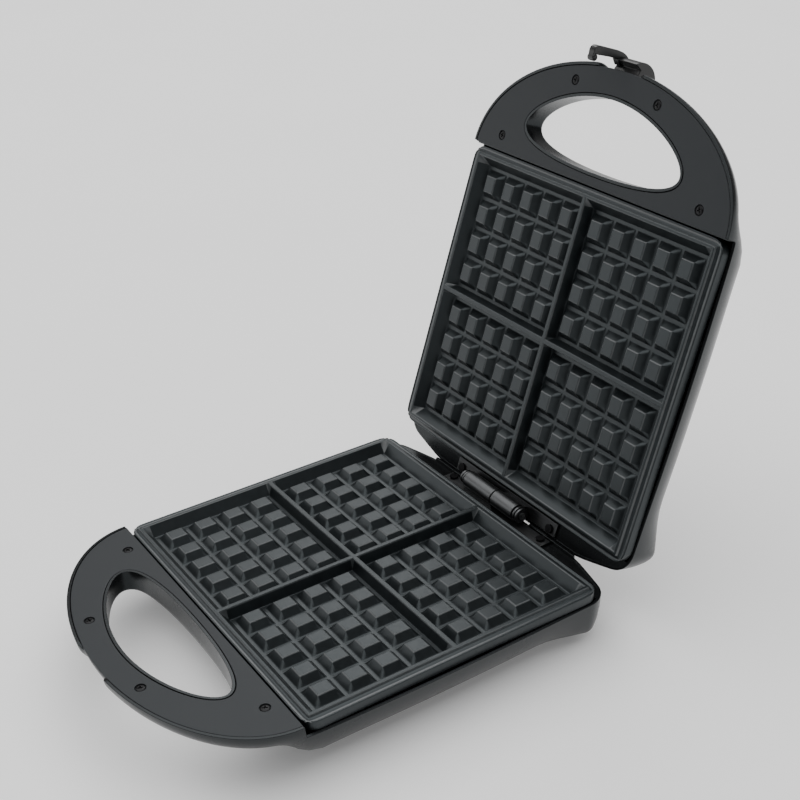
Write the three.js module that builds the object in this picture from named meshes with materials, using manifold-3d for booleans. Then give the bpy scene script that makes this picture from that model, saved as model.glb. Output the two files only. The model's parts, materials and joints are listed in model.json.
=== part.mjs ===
// Four-slice waffle maker: a hinged pair of shallow shells, each holding a cast waffle plate,
// with a finger-hole handle at the front and a swinging latch on the lid.
// Millimetres, +Z up. X runs across the machine, Y from the handle (front) to the hinge (rear).
// Everything is drawn about the middle of the lower plate, with Z = 0 on the table, and the
// finished group is shifted so that its bounding box stands centred over the origin.
// The lid is drawn closed, as the mirror of the base, and then swung open about the hinge.

import * as THREE from 'three';
import { mergeVertices } from 'three/addons/utils/BufferGeometryUtils.js';
import Module from 'manifold-3d';

const wasm = await Module();
wasm.setup();

// ---------------------------------------------------------------- driving dimensions

const MATE_Z = 44;              // height of the plane where the two halves meet
const HALF_GAP = 0.5;           // each half stops this far short of that plane
const OPEN_ANGLE = 109.8;       // degrees the lid stands open
const HINGE_Y = 111.7;          // hinge axis, behind the plate centre
const CLEARANCE = 0.3;          // gap between pieces that touch

const STUD_PITCH_X = 20;        // waffle grid
const STUD_PITCH_Y = 21;
const STUDS_X = 5;              // studs of one pocket
const STUDS_Y = 4;
const FIRST_STUD_X = 14.5;      // first stud from the centre lines
const FIRST_STUD_Y = 15.3;
const STUD_TOP_X = 9.2;         // sides of a stud's flat top
const STUD_TOP_Y = 10.4;
const GRID_STRIP = 2.6;         // flat strip between the feet of two studs
const STUD_HEIGHT = 5.5;
const RIDGE_HEIGHT = 2;         // ridge above the stud tops
const RIDGE_HALF = 1.5;         // half width of the cross ridge
const POCKET_X = 110;           // outer walls of the pockets at ridge level
const POCKET_Y = 95.7;
const POCKET_FOOT_X = 105.5;    // the same walls at the pocket floor
const POCKET_FOOT_Y = 89.9;
const CROSS_FOOT = 3.6;         // foot of the cross ridge at the floor
const RIM_X = 118;              // outer flange of the plate
const RIM_Y = 101.7;
const RIM_DROP = 1.6;           // flange below the ridge
const SKIRT_DEPTH = 6.1;        // height of the flange's side wall
const PLATE_FLOOR = 3;          // metal under the pocket floor

const LIP_HALF_X = 120;         // handle outline: half an ellipse
const LIP_REACH = 74;
const HANDLE_Y = -103;          // where the handle starts
const BULGE = 1.8;              // how far the long sides swell
const REAR_Y = 117.5;           // rear wall
const CORNER_R = 18;            // rear corners
const EDGE_DROP = 8.8;          // shell edge beside the plate, below the mating plane
const WALL = 2.2;               // shell wall
const BOTTOM_Z = 6;             // underside of the body
const HANDLE_BOTTOM_Z = 25.5;     // underside of the handle
const SIDE_INSET = 30;          // how far the sides draw in towards the bottom
const HANDLE_INSET = 25;
const REAR_INSET = 9;
const COVER_THICK = 1.8;        // handle cover
const COVER_RECESS = 0.2;       // cover below the lip
const HOLE_WALL = 1.6;            // wall around the finger hole
const SLOT_GAP = 0.4;           // visible line around the cover
const NOTCH_HALF = 20;          // latch notch in the lip
const RIB_Y = 115;              // low rib along the rear edge, beside the hinge
const RIB_HEIGHT = 2.8;
const RIB_START = 38;
const RIB_END = 76;
const FOOT_R = 8;
const BARREL_R = 5.9;           // hinge knuckles
const BASE_BARREL = 30;         // their lengths, either side of the middle
const LID_BARREL = 23;
const PIN_R = 2.4;
const COLLAR_WIDTH = 4;
const LATCH_Y = -169.5;         // latch pivot, lid closed
const LATCH_Z = 52;
const LATCH_R = 13;
const LATCH_HALF = 11;
const ARM_WIDTH = 5;
const LATCH_SWING = 25;         // degrees from the drawn position to the locked one
const LATCH_OUT = 15;           // degrees it swings further out

// ---------------------------------------------------------------- derived heights of the base

const RIDGE_Z = MATE_Z - HALF_GAP;
const STUD_Z = RIDGE_Z - RIDGE_HEIGHT;
const FLOOR_Z = STUD_Z - STUD_HEIGHT;
const RIM_Z = RIDGE_Z - RIM_DROP;
const SKIRT_Z = RIM_Z - SKIRT_DEPTH;
const PLATE_UNDER_Z = FLOOR_Z - PLATE_FLOOR;
const EDGE_Z = MATE_Z - EDGE_DROP;
const COVER_Z = RIDGE_Z - COVER_RECESS;
const COVER_UNDER_Z = COVER_Z - COVER_THICK;
const POST_Z = COVER_UNDER_Z - CLEARANCE;
const REFLECTOR_Z = 22;
const ELEMENT_R = 3.2;
const ELEMENT_Z = PLATE_UNDER_Z - ELEMENT_R - CLEARANCE;
const COVER_SCREWS = [[-93, -113], [-37.5, -161.5], [37.5, -161.5], [93, -113]];
const PLATE_SCREWS = [[-96, -62], [96, -62], [-96, 62], [96, 62]];
const FEET = [[-78, -70], [78, -70], [-78, 96], [78, 96]];
const HINGE_SCREW_X = 48;
const HINGE_SCREW_Y = 111;
const STRIP_THICK = 1.4;
const LUG_BOTTOM_Z = 2 * MATE_Z - POST_Z;
const LUG_OUTER = LATCH_HALF + 5.6;
const LAMP_R = 5;
const LAMPS = [[-16, -70], [16, -70]];
const WIRE_HOLES = [[-19, 85], [19, 85]];

// ---------------------------------------------------------------- materials

function material(color, roughness, metalness) {
  return new THREE.MeshStandardMaterial({ color, roughness, metalness });
}

const SHELL_PLASTIC = material('#3f4042', 0.5, 0);
const COVER_PLASTIC = material('#47484a', 0.6, 0);
const NON_STICK = material('#3c4042', 0.45, 0.3);
const SATIN_STEEL = material('#6d7072', 0.35, 0.9);
const BLACK_STEEL = material('#1c1d1f', 0.45, 0.6);
const BRIGHT_STEEL = material('#b6b8ba', 0.3, 1);
const ALUMINIUM = material('#c3c5c6', 0.35, 1);
const RUBBER = material('#151515', 0.9, 0);
const CERAMIC = material('#e6e2d8', 0.5, 0);
const RED_LENS = material('#b3201c', 0.2, 0);
const GREEN_LENS = material('#2d9a46', 0.2, 0);
const WIRE_SLEEVE = material('#d9d4c4', 0.8, 0);

// ---------------------------------------------------------------- solids

function toSolid(geometry) {
  const bare = geometry.clone();
  bare.deleteAttribute('normal');
  bare.deleteAttribute('uv');
  const merged = mergeVertices(bare, 1e-4);
  const vertProperties = new Float32Array(merged.attributes.position.array);
  const triVerts = new Uint32Array(merged.index.array);
  return new wasm.Manifold(new wasm.Mesh({ numProp: 3, vertProperties, triVerts }));
}

function toGeometry(solid) {
  const mesh = solid.getMesh();
  const geometry = new THREE.BufferGeometry();
  geometry.setAttribute('position', new THREE.BufferAttribute(new Float32Array(mesh.vertProperties), 3));
  geometry.setIndex(new THREE.BufferAttribute(new Uint32Array(mesh.triVerts), 1));
  return geometry;
}

function flipped(geometry) {
  const index = geometry.index;
  for (let i = 0; i < index.count; i += 3) {
    const first = index.getX(i);
    index.setX(i, index.getX(i + 1));
    index.setX(i + 1, first);
  }
  return geometry;
}

// The same piece on the other half: mirrored in the mating plane.
function mirrored(geometry) {
  const copy = geometry.index ? geometry.clone() : mergeVertices(geometry);
  copy.scale(1, 1, -1);
  copy.translate(0, 0, 2 * MATE_Z);
  return flipped(copy);
}

// A closed skin through rings that all have the same number of points, counter-clockwise seen
// from above and stacked upwards, with a fan over each end.
function loft(rings) {
  const count = rings[0].length;
  const positions = [];
  const index = [];
  for (const ring of rings) {
    for (const point of ring) positions.push(point.x, point.y, point.z);
  }
  for (let k = 0; k < rings.length - 1; k += 1) {
    for (let i = 0; i < count; i += 1) {
      const a = k * count + i;
      const b = k * count + (i + 1) % count;
      index.push(a, b, b + count, a, b + count, a + count);
    }
  }
  const ends = [[0, true], [rings.length - 1, false]];
  for (const [k, isBottom] of ends) {
    const centre = new THREE.Vector3();
    for (const point of rings[k]) centre.add(point);
    centre.divideScalar(count);
    const hub = positions.length / 3;
    positions.push(centre.x, centre.y, centre.z);
    for (let i = 0; i < count; i += 1) {
      const a = k * count + i;
      const b = k * count + (i + 1) % count;
      if (isBottom) index.push(hub, b, a);
      else index.push(hub, a, b);
    }
  }
  const geometry = new THREE.BufferGeometry();
  geometry.setAttribute('position', new THREE.Float32BufferAttribute(positions, 3));
  geometry.setIndex(index);
  return geometry;
}

function ringAt(outline, z) {
  return outline.map((point) => new THREE.Vector3(point.x, point.y, z));
}

function box(x0, x1, y0, y1, z0, z1) {
  const geometry = new THREE.BoxGeometry(x1 - x0, y1 - y0, z1 - z0);
  geometry.translate((x0 + x1) / 2, (y0 + y1) / 2, (z0 + z1) / 2);
  return geometry;
}

function uprightCylinder(x, y, z0, z1, radius, sides = 16) {
  const geometry = new THREE.CylinderGeometry(radius, radius, z1 - z0, sides);
  geometry.rotateX(Math.PI / 2);
  geometry.translate(x, y, (z0 + z1) / 2);
  return geometry;
}

function crossCylinder(x0, x1, y, z, radius, sides = 24) {
  const geometry = new THREE.CylinderGeometry(radius, radius, x1 - x0, sides);
  geometry.rotateZ(Math.PI / 2);
  geometry.translate((x0 + x1) / 2, y, z);
  return geometry;
}

// A side view in the Y-Z plane, given as [y, z] pairs, drawn out along X.
function sideExtrusion(points, x0, x1) {
  const shape = new THREE.Shape(points.map(([y, z]) => new THREE.Vector2(y, z)));
  const geometry = new THREE.ExtrudeGeometry(shape, { depth: x1 - x0, bevelEnabled: false });
  geometry.applyMatrix4(new THREE.Matrix4().makeBasis(
    new THREE.Vector3(0, 1, 0), new THREE.Vector3(0, 0, 1), new THREE.Vector3(1, 0, 0)));
  geometry.translate(x0, 0, 0);
  return geometry;
}

function turned(profile, sides) {
  const points = profile.map(([radius, z]) => new THREE.Vector2(radius, z));
  const geometry = new THREE.LatheGeometry(points, sides);
  geometry.rotateX(Math.PI / 2);
  return geometry;
}

function tube(points, radius, steps, sides) {
  const path = new THREE.CatmullRomCurve3(points.map((p) => new THREE.Vector3(...p)), false, 'centripetal');
  const section = [];
  for (let i = 0; i < sides; i += 1) {
    const angle = (i / sides) * 2 * Math.PI;
    section.push(new THREE.Vector2(radius * Math.cos(angle), radius * Math.sin(angle)));
  }
  return new THREE.ExtrudeGeometry(new THREE.Shape(section), { steps, extrudePath: path, bevelEnabled: false });
}

// ---------------------------------------------------------------- outlines

function smooth(from, to, value) {
  const t = Math.min(1, Math.max(0, (value - from) / (to - from)));
  return t * t * (3 - 2 * t);
}

// Plan of the shell, counter-clockwise from the tip of the handle.
function shellOutline() {
  const half = [];
  const handleSteps = 11;
  for (let i = 1; i <= handleSteps; i += 1) {
    const angle = (i / handleSteps) * Math.PI / 2;
    half.push([LIP_HALF_X * Math.sin(angle), HANDLE_Y - LIP_REACH * Math.cos(angle)]);
  }
  const cornerY = 93;
  const sideSteps = 4;
  const sideX = (y) => LIP_HALF_X + BULGE * (1 - ((y + 10) / 93) ** 2);
  for (let i = 1; i <= sideSteps; i += 1) {
    const y = HANDLE_Y + (cornerY - HANDLE_Y) * i / sideSteps;
    half.push([sideX(y), y]);
  }
  const cornerSteps = 3;
  const cornerX = sideX(cornerY) - CORNER_R;
  const cornerSweep = 76 * Math.PI / 180;
  for (let i = 1; i <= cornerSteps; i += 1) {
    const angle = cornerSweep * i / cornerSteps;
    half.push([cornerX + CORNER_R * Math.cos(angle), cornerY + CORNER_R * Math.sin(angle)]);
  }
  half.push([76, REAR_Y]);
  half.push([40, REAR_Y]);
  const tip = new THREE.Vector2(0, HANDLE_Y - LIP_REACH);
  const right = half.map(([x, y]) => new THREE.Vector2(x, y));
  const left = half.map(([x, y]) => new THREE.Vector2(-x, y)).reverse();
  return [tip, ...right, ...left];
}

// Every point moved inwards along its normal; amount is a distance or a function of the point.
function inset(outline, amount) {
  const count = outline.length;
  return outline.map((point, i) => {
    const before = outline[(i + count - 1) % count];
    const after = outline[(i + 1) % count];
    const along = after.clone().sub(before).normalize();
    const distance = typeof amount === 'function' ? amount(point) : amount;
    return new THREE.Vector2(point.x - along.y * distance, point.y + along.x * distance);
  });
}

function drawIn(y) {
  const front = HANDLE_INSET + (SIDE_INSET - HANDLE_INSET) * smooth(-140, -60, y);
  return front + (REAR_INSET - front) * smooth(60, 105, y);
}

function bottomAt(y) {
  return HANDLE_BOTTOM_Z + (BOTTOM_Z - HANDLE_BOTTOM_Z) * smooth(-120, -89, y);
}

// A bowl with quarter-ellipse sides under the shell outline, drawn in by `skin` all over.
function bowl(skin, topZ) {
  const start = inset(shellOutline(), skin);
  const rings = [];
  const centre = new THREE.Vector2(0, -10);
  for (const share of [0.45, 0.75]) {
    const edge = inset(start, (point) => drawIn(point.y) - skin);
    rings.push(edge.map((point) => {
      const flat = centre.clone().lerp(point, share);
      return new THREE.Vector3(flat.x, flat.y, bottomAt(flat.y) + skin);
    }));
  }
  const profileSteps = skin > 0 ? 4 : 6;
  for (let k = profileSteps; k >= 0; k -= 1) {
    const angle = (k / profileSteps) * Math.PI / 2;
    const ring = inset(start, (point) => (drawIn(point.y) - skin) * (1 - Math.cos(angle)));
    rings.push(ring.map((point) => {
      const low = bottomAt(point.y) + skin;
      return new THREE.Vector3(point.x, point.y, RIDGE_Z - (RIDGE_Z - low) * Math.sin(angle));
    }));
  }
  if (topZ > RIDGE_Z) rings.push(ringAt(start, topZ));
  return loft(rings);
}

// Finger hole: a flat-topped oval, counter-clockwise.
function holeOutline() {
  const shape = new THREE.Shape();
  shape.moveTo(0, -156.5);
  shape.bezierCurveTo(38, -156.5, 71.5, -137, 71.5, -126);
  shape.bezierCurveTo(71.5, -115, 38, -111, 0, -111);
  shape.bezierCurveTo(-38, -111, -71.5, -115, -71.5, -126);
  shape.bezierCurveTo(-71.5, -137, -38, -156.5, 0, -156.5);
  return shape.getPoints(7).slice(0, -1);
}

// The hole's wall runs straight down and then flares to the underside.
function holeSleeve(grow) {
  const outline = holeOutline();
  const flare = [[16, 14], [24, 6], [27, 2.5], [31, 0], [RIDGE_Z + 3, 0]];
  return loft(flare.map(([z, out]) => ringAt(inset(outline, -out - grow), z)));
}

function roundedRectangle(x0, x1, y0, y1, radius) {
  const points = [];
  const corners = [[x1 - radius, y0 + radius, -90], [x1 - radius, y1 - radius, 0],
    [x0 + radius, y1 - radius, 90], [x0 + radius, y0 + radius, 180]];
  const steps = 3;
  for (const [x, y, from] of corners) {
    for (let i = 0; i <= steps; i += 1) {
      const angle = (from + 90 * i / steps) * Math.PI / 180;
      points.push(new THREE.Vector2(x + radius * Math.cos(angle), y + radius * Math.sin(angle)));
    }
  }
  return points;
}

// ---------------------------------------------------------------- shells

// The latch notch: a slanted cut across the front of the lip.
function notchCut() {
  return sideExtrusion([[-190, 46], [-174.6, 46], [-174.6, 43], [-166.4, 19], [-190, 19]],
    -NOTCH_HALF, NOTCH_HALF);
}

function notchBacking() {
  const depth = NOTCH_HALF + WALL;
  return sideExtrusion([[-174.9, 41.1], [-171.8, 41.1], [-163.8, 18], [-166.9, 18]], -depth, depth);
}

// One half's shell with its finger hole, cover posts, rear deck and latch notch.
function shellSolid() {
  const outside = toSolid(bowl(0, RIDGE_Z));
  const inside = toSolid(bowl(WALL, RIDGE_Z + 3));
  const bulkhead = toSolid(box(-118, 118, HANDLE_Y - 2, HANDLE_Y + 0.6, 8, POST_Z));
  const deck = toSolid(box(-119, 119, 103.2, REAR_Y, EDGE_Z - WALL, EDGE_Z));
  let ribs = bulkhead.add(deck).add(toSolid(notchBacking())).add(toSolid(holeSleeve(HOLE_WALL)));
  for (const [x, y] of COVER_SCREWS) {
    ribs = ribs.add(toSolid(uprightCylinder(x, y, 12, POST_Z, 4.2, 8)));
  }
  const seat = inset(shellOutline(), WALL);
  const room = inside.add(toSolid(loft([ringAt(seat, POST_Z), ringAt(seat, RIDGE_Z + 3)])));
  let shell = outside.subtract(room).add(ribs.intersect(outside));
  shell = shell.subtract(toSolid(box(-130, 130, HANDLE_Y + 0.6, 130, EDGE_Z, 60)));
  shell = shell.subtract(toSolid(notchCut()));
  shell = shell.subtract(toSolid(holeSleeve(0)));
  const aboveSleeve = loft([ringAt(inset(holeOutline(), -HOLE_WALL - 2), COVER_Z), ringAt(inset(holeOutline(),
    -HOLE_WALL - 2), RIDGE_Z + 3)]);
  shell = shell.subtract(toSolid(aboveSleeve));
  for (const [x, y] of COVER_SCREWS) {
    shell = shell.subtract(toSolid(uprightCylinder(x, y, 30, RIDGE_Z + 1, 2, 8)));
  }
  for (const side of [-1, 1]) {
    const bore = uprightCylinder(side * HINGE_SCREW_X, HINGE_SCREW_Y, EDGE_Z - 4, EDGE_Z + 1, 2, 8);
    shell = shell.subtract(toSolid(bore));
  }
  return shell;
}

function baseHousing() {
  const inlet = new THREE.CylinderGeometry(6.3, 6.3, 14, 16);
  inlet.translate(-60, 115, 20);
  let shell = shellSolid().subtract(toSolid(inlet));
  for (const side of [-1, 1]) {
    const ends = [side * RIB_START, side * RIB_END].sort((a, b) => a - b);
    shell = shell.add(toSolid(box(...ends, RIB_Y, RIB_Y + 1.6, EDGE_Z - 1, EDGE_Z + RIB_HEIGHT)));
  }
  return toGeometry(shell);
}

// The lid's shell adds the latch slot, its pin lugs and the two lamp openings.
function lidHousing() {
  const outside = toSolid(mirrored(bowl(0, RIDGE_Z)));
  let lugs = toSolid(box(-LUG_OUTER, LUG_OUTER, -177, -163, LUG_BOTTOM_Z, 58.5)).intersect(outside);
  lugs = lugs.subtract(toSolid(mirrored(holeSleeve(HOLE_WALL))));
  let shell = toSolid(mirrored(toGeometry(shellSolid()))).add(lugs);
  const slotHalf = LATCH_HALF + 0.6;
  shell = shell.subtract(toSolid(crossCylinder(-slotHalf, slotHalf, LATCH_Y, LATCH_Z, LATCH_R + 0.8, 24)));
  shell = shell.subtract(toSolid(box(-slotHalf, slotHalf, -190, LATCH_Y, 40, LATCH_Z)));
  shell = shell.subtract(toSolid(crossCylinder(-LUG_OUTER + 0.6, LUG_OUTER - 0.6, LATCH_Y, LATCH_Z, 2.3, 12)));
  shell = shell.subtract(toSolid(mirrored(notchCut())).intersect(toSolid(box(-20, 20, -190, -150, 40, 47))));
  for (const [x, y] of LAMPS) {
    shell = shell.subtract(toSolid(uprightCylinder(x, y, 70, 90, LAMP_R + CLEARANCE, 16)));
  }
  return toGeometry(shell);
}

// ---------------------------------------------------------------- handle covers

function handleCover() {
  const rear = HANDLE_Y - SLOT_GAP;
  const outline = inset(shellOutline(), WALL + SLOT_GAP).filter((point) => point.y < rear);
  const cornerX = LIP_HALF_X - WALL - SLOT_GAP;
  const shape = new THREE.Shape([new THREE.Vector2(cornerX, rear), new THREE.Vector2(-cornerX, rear),
    ...outline.filter((point) => point.x < -0.01),
    ...outline.filter((point) => point.x >= -0.01)]);
  const slab = new THREE.ExtrudeGeometry(shape, { depth: COVER_THICK, bevelEnabled: false });
  slab.translate(0, 0, COVER_UNDER_Z);
  let solid = toSolid(slab);
  const hole = inset(holeOutline(), -HOLE_WALL - SLOT_GAP);
  solid = solid.subtract(toSolid(loft([ringAt(hole, COVER_UNDER_Z - 1), ringAt(hole, COVER_Z + 1)])));
  for (const [x, y] of COVER_SCREWS) {
    solid = solid.subtract(toSolid(uprightCylinder(x, y, COVER_UNDER_Z - 1, COVER_Z + 1, 2, 8)));
    solid = solid.subtract(toSolid(uprightCylinder(x, y, COVER_Z - 1.2, COVER_Z + 1, 3.6, 10)));
  }
  return toGeometry(solid);
}

// A cheese-head screw standing at the origin with its head's top at z = 0.
function screwGeometry(headR, headHeight, shankR, length) {
  return turned([[0, -length], [shankR, -length], [shankR, -headHeight], [headR, -headHeight],
    [headR, 0], [0, 0]], 8);
}

function coverScrew(x, y) {
  const geometry = screwGeometry(3.1, 0.8, 1.5, 11);
  geometry.translate(x, y, COVER_Z - 0.1);
  return geometry;
}

// ---------------------------------------------------------------- waffle plate

function frustum(x, y, topX, topY, baseX, baseY, z0, z1) {
  const corners = [[1, -1], [1, 1], [-1, 1], [-1, -1]];
  const ring = (sx, sy, z) => corners.map(([a, b]) => new THREE.Vector3(x + a * sx / 2, y + b * sy / 2, z));
  return loft([ring(baseX, baseY, z0), ring(topX, topY, z1)]);
}

function wafflePlate() {
  const flange = roundedRectangle(-RIM_X, RIM_X, -RIM_Y, RIM_Y, 8);
  const ridge = roundedRectangle(-POCKET_X - 2.5, POCKET_X + 2.5, -POCKET_Y - 1.6, POCKET_Y + 1.6, 6);
  let plate = toSolid(loft([ringAt(flange, SKIRT_Z), ringAt(flange, RIM_Z)]));
  plate = plate.add(toSolid(loft([ringAt(ridge, PLATE_UNDER_Z), ringAt(ridge, RIDGE_Z)])));
  const slope = (RIDGE_Z + 1 - FLOOR_Z) / (RIDGE_Z - FLOOR_Z);
  for (const sx of [-1, 1]) {
    for (const sy of [-1, 1]) {
      const span = (near, far, sign) => (sign > 0 ? [near, far] : [-far, -near]);
      const [fx0, fx1] = span(CROSS_FOOT, POCKET_FOOT_X, sx);
      const [fy0, fy1] = span(CROSS_FOOT, POCKET_FOOT_Y, sy);
      const nearTop = CROSS_FOOT + (RIDGE_HALF - CROSS_FOOT) * slope;
      const [tx0, tx1] = span(nearTop, POCKET_FOOT_X + (POCKET_X - POCKET_FOOT_X) * slope, sx);
      const [ty0, ty1] = span(nearTop, POCKET_FOOT_Y + (POCKET_Y - POCKET_FOOT_Y) * slope, sy);
      const well = loft([ringAt(roundedRectangle(fx0, fx1, fy0, fy1, 1.5), FLOOR_Z),
        ringAt(roundedRectangle(tx0, tx1, ty0, ty1, 4), RIDGE_Z + 1)]);
      plate = plate.subtract(toSolid(well));
      for (let i = 0; i < STUDS_X; i += 1) {
        for (let j = 0; j < STUDS_Y; j += 1) {
          const x = sx * (FIRST_STUD_X + i * STUD_PITCH_X);
          const y = sy * (FIRST_STUD_Y + j * STUD_PITCH_Y);
          const stud = frustum(x, y, STUD_TOP_X, STUD_TOP_Y, STUD_PITCH_X - GRID_STRIP,
            STUD_PITCH_Y - GRID_STRIP, FLOOR_Z - 0.5, STUD_Z);
          plate = plate.add(toSolid(stud));
        }
      }
    }
  }
  for (const [x, y] of PLATE_SCREWS) {
    plate = plate.add(toSolid(uprightCylinder(x, y, REFLECTOR_Z + 1.5, PLATE_UNDER_Z + 1, 4.5, 12)));
    plate = plate.subtract(toSolid(uprightCylinder(x, y, REFLECTOR_Z, REFLECTOR_Z + 9, 2.4, 10)));
  }
  return toGeometry(plate);
}

// ---------------------------------------------------------------- pieces inside a half

function reflector() {
  const outer = roundedRectangle(-108, 108, -92, 92, 8);
  const inner = inset(outer, 1);
  let tray = toSolid(loft([ringAt(outer, REFLECTOR_Z), ringAt(outer, REFLECTOR_Z + 5)]));
  tray = tray.subtract(toSolid(loft([ringAt(inner, REFLECTOR_Z + 1), ringAt(inner, REFLECTOR_Z + 6)])));
  for (const [x, y] of PLATE_SCREWS) {
    tray = tray.subtract(toSolid(uprightCylinder(x, y, REFLECTOR_Z - 1, REFLECTOR_Z + 3, 2.4, 10)));
  }
  for (const [x, y] of WIRE_HOLES) {
    tray = tray.subtract(toSolid(uprightCylinder(x, y, REFLECTOR_Z - 1, REFLECTOR_Z + 3, 5, 10)));
  }
  return toGeometry(tray);
}

function plateScrew(x, y) {
  const geometry = screwGeometry(3.6, 2, 1.9, 9);
  geometry.rotateX(Math.PI);
  geometry.translate(x, y, REFLECTOR_Z - 2.3);
  return geometry;
}

// A tubular element bent into one round-cornered loop that stays open at the rear.
function heatingElement() {
  const z = ELEMENT_Z;
  return tube([[-24, 84, z], [-60, 84, z], [-78, 66, z], [-78, 0, z], [-78, -62, z], [-60, -78, z],
    [0, -78, z], [60, -78, z], [78, -62, z], [78, 0, z], [78, 66, z], [60, 84, z], [24, 84, z]],
  ELEMENT_R, 26, 6);
}

function elementLead(side) {
  const x = side * 19;
  return tube([[x, 84, ELEMENT_Z], [x, 85, 27], [x, 87, 18], [side * 16, 91, 14], [side * 14, 97, 13.5]],
    1.2, 9, 5);
}

function thermostat() {
  return turned([[0, 25], [6, 25], [8, 26.5], [8, PLATE_UNDER_Z - CLEARANCE], [0, PLATE_UNDER_Z - CLEARANCE]], 16)
    .translate(30, 20, 0);
}

function thermalFuse() {
  return crossCylinder(-40, -22, 20, PLATE_UNDER_Z - 2.4, 2, 10);
}

// ---------------------------------------------------------------- feet, inlet and terminals

function rubberFoot(x, y) {
  const top = BOTTOM_Z - CLEARANCE;
  return turned([[0, 0], [FOOT_R - 1.2, 0], [FOOT_R, 1.2], [FOOT_R - 0.8, top], [0, top]], 12).translate(x, y, 0);
}

function terminalBlock() {
  return box(-22, 22, 99, 109, 9.5, 20);
}

// Bushing in the rear wall where the mains lead goes in.
function inletBushing() {
  const profile = [[3.6, 0], [8, 0], [8, 1.6], [6, 1.6], [6, 7], [3.6, 7]];
  const points = profile.map(([radius, z]) => new THREE.Vector2(radius, z));
  points.push(points[0].clone());
  const geometry = new THREE.LatheGeometry(points, 16);
  geometry.scale(1, -1, 1);
  geometry.translate(-60, 118.8, 20);
  return flipped(mergeVertices(geometry));
}

// ---------------------------------------------------------------- hinge

// A flat strip screwed to the deck with one knuckle standing on it, left of the middle.
function hingeLeaf(barrelLength) {
  const z0 = EDGE_Z + 0.2;
  let leaf = toSolid(box(-54, 54, 105.4, 114.6, z0, z0 + STRIP_THICK));
  leaf = leaf.add(toSolid(box(-barrelLength, -0.4, 107.6, 115.4, z0, MATE_Z - 3.4)));
  leaf = leaf.add(toSolid(crossCylinder(-barrelLength, -0.4, HINGE_Y, MATE_Z, BARREL_R, 18)));
  leaf = leaf.subtract(toSolid(crossCylinder(-60, 60, HINGE_Y, MATE_Z, PIN_R + 0.35, 12)));
  for (const side of [-1, 1]) {
    leaf = leaf.subtract(toSolid(uprightCylinder(side * HINGE_SCREW_X, HINGE_SCREW_Y, z0 - 1, z0 + 3, 2, 8)));
  }
  return toGeometry(leaf);
}

function hingeScrew(side) {
  const geometry = screwGeometry(3.1, 1.1, 1.5, 8);
  geometry.translate(side * HINGE_SCREW_X, HINGE_SCREW_Y, EDGE_Z + 0.2 + STRIP_THICK + 1.4);
  return geometry;
}

function collarStart(side) {
  return (side > 0 ? LID_BARREL : BASE_BARREL) + 0.8;
}

function hingePin() {
  const past = COLLAR_WIDTH + 0.6;
  return crossCylinder(-collarStart(-1) - past, collarStart(1) + past, HINGE_Y, MATE_Z, PIN_R, 12);
}

function hingeCollar(side) {
  const inner = PIN_R + 0.35;
  const outer = BARREL_R - 0.7;
  const x0 = collarStart(side);
  const ring = [[inner, 0], [outer, 0], [outer, COLLAR_WIDTH], [inner, COLLAR_WIDTH]].map(([r, z]) => new THREE.Vector2(r, z));
  ring.push(ring[0].clone());
  const geometry = mergeVertices(new THREE.LatheGeometry(ring, 14));
  geometry.rotateZ(Math.PI / 2);
  geometry.translate(side > 0 ? x0 + COLLAR_WIDTH : -x0, HINGE_Y, MATE_Z);
  return geometry;
}

// ---------------------------------------------------------------- latch

// Drawn swung out from its locked position, about its own pivot.
function latch() {
  let drum = toSolid(crossCylinder(-LATCH_HALF, LATCH_HALF, 0, 0, LATCH_R, 24));
  drum = drum.subtract(toSolid(box(-20, 20, 1, 20, -20, 20)));
  for (let swing = -LATCH_OUT; swing <= LATCH_SWING; swing += 5) {
    const coverRoom = sideExtrusion([[-6.2, -5.1], [-6.2, -20], [22, -20], [22, -5.1]], -20, 20);
    coverRoom.applyMatrix4(new THREE.Matrix4().makeRotationX(-swing * Math.PI / 180));
    drum = drum.subtract(toSolid(coverRoom));
  }
  drum = drum.add(toSolid(crossCylinder(-LATCH_HALF, LATCH_HALF, 0, 0, 4.9, 12)));
  const arm = [[-7.5, -4], [-7.5, 2], [-12.9, 2], [-15.4, -2.5], [-16.2, -8], [-16.2, -23.5], [-15.4, -26],
    [-13.4, -27.2], [-9.8, -27.7], [-7.4, -27.3], [-6.4, -25.5], [-7.4, -23.7], [-10.6, -23.1], [-11.2, -12],
    [-10.8, -7]];
  drum = drum.add(toSolid(sideExtrusion(arm, -LATCH_HALF, -LATCH_HALF + ARM_WIDTH)));
  drum = drum.subtract(toSolid(crossCylinder(-20, 20, 0, 0, 2.3, 12)));
  const geometry = toGeometry(drum);
  geometry.translate(0, LATCH_Y, LATCH_Z);
  return geometry;
}

function lampLens(x, y) {
  const top = 2 * MATE_Z - BOTTOM_Z;
  return turned([[0, top - 4], [LAMP_R, top - 4], [LAMP_R, top + 0.4], [LAMP_R - 1.4, top + 1.2], [0, top + 1.2]], 16)
    .translate(x, y, 0);
}

// ---------------------------------------------------------------- assembly

function named(name, geometry, look) {
  const clean = geometry.index ? geometry : mergeVertices(geometry);
  const mesh = new THREE.Mesh(clean, look);
  mesh.name = name;
  return mesh;
}

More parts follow.
